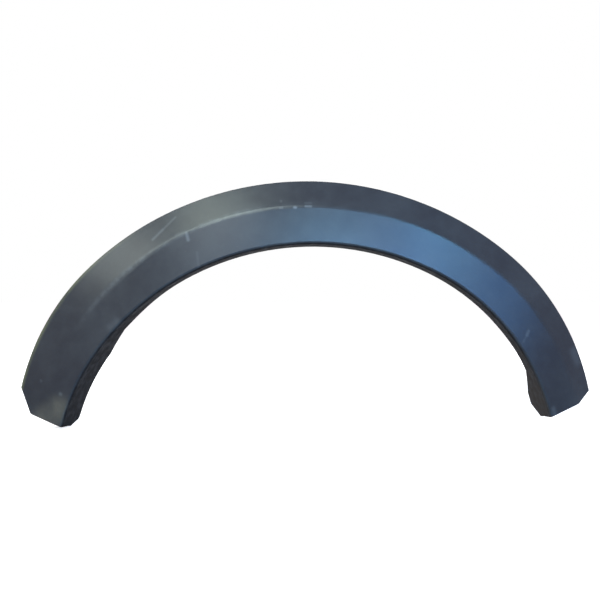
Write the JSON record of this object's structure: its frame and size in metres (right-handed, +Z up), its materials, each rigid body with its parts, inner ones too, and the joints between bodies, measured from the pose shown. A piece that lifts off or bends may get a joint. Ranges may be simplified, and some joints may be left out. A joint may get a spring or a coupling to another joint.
{
  "type": "wheel arch trim molding",
  "caption": "Curved wheel arch trim molding: a creased outer face, an inner return flange with a deeper tab at each end, and clip towers on the hidden back.",
  "frame": {"origin": "midway between the two crown clip seats, on their seat plane", "axes": "+X along the car, to the right in the picture; +Y into the body side, away from the viewer; +Z up, with the wheel opening facing down"},
  "size_m": [0.821, 0.0753, 0.3498],
  "materials": {
    "grained_plastic": "fine moulded grain, dark charcoal, faded and lightly scuffed"
  },
  "bodies": {
    "root": {"wheel_arch_molding": "grained_plastic"}
  },
  "joints": []
}
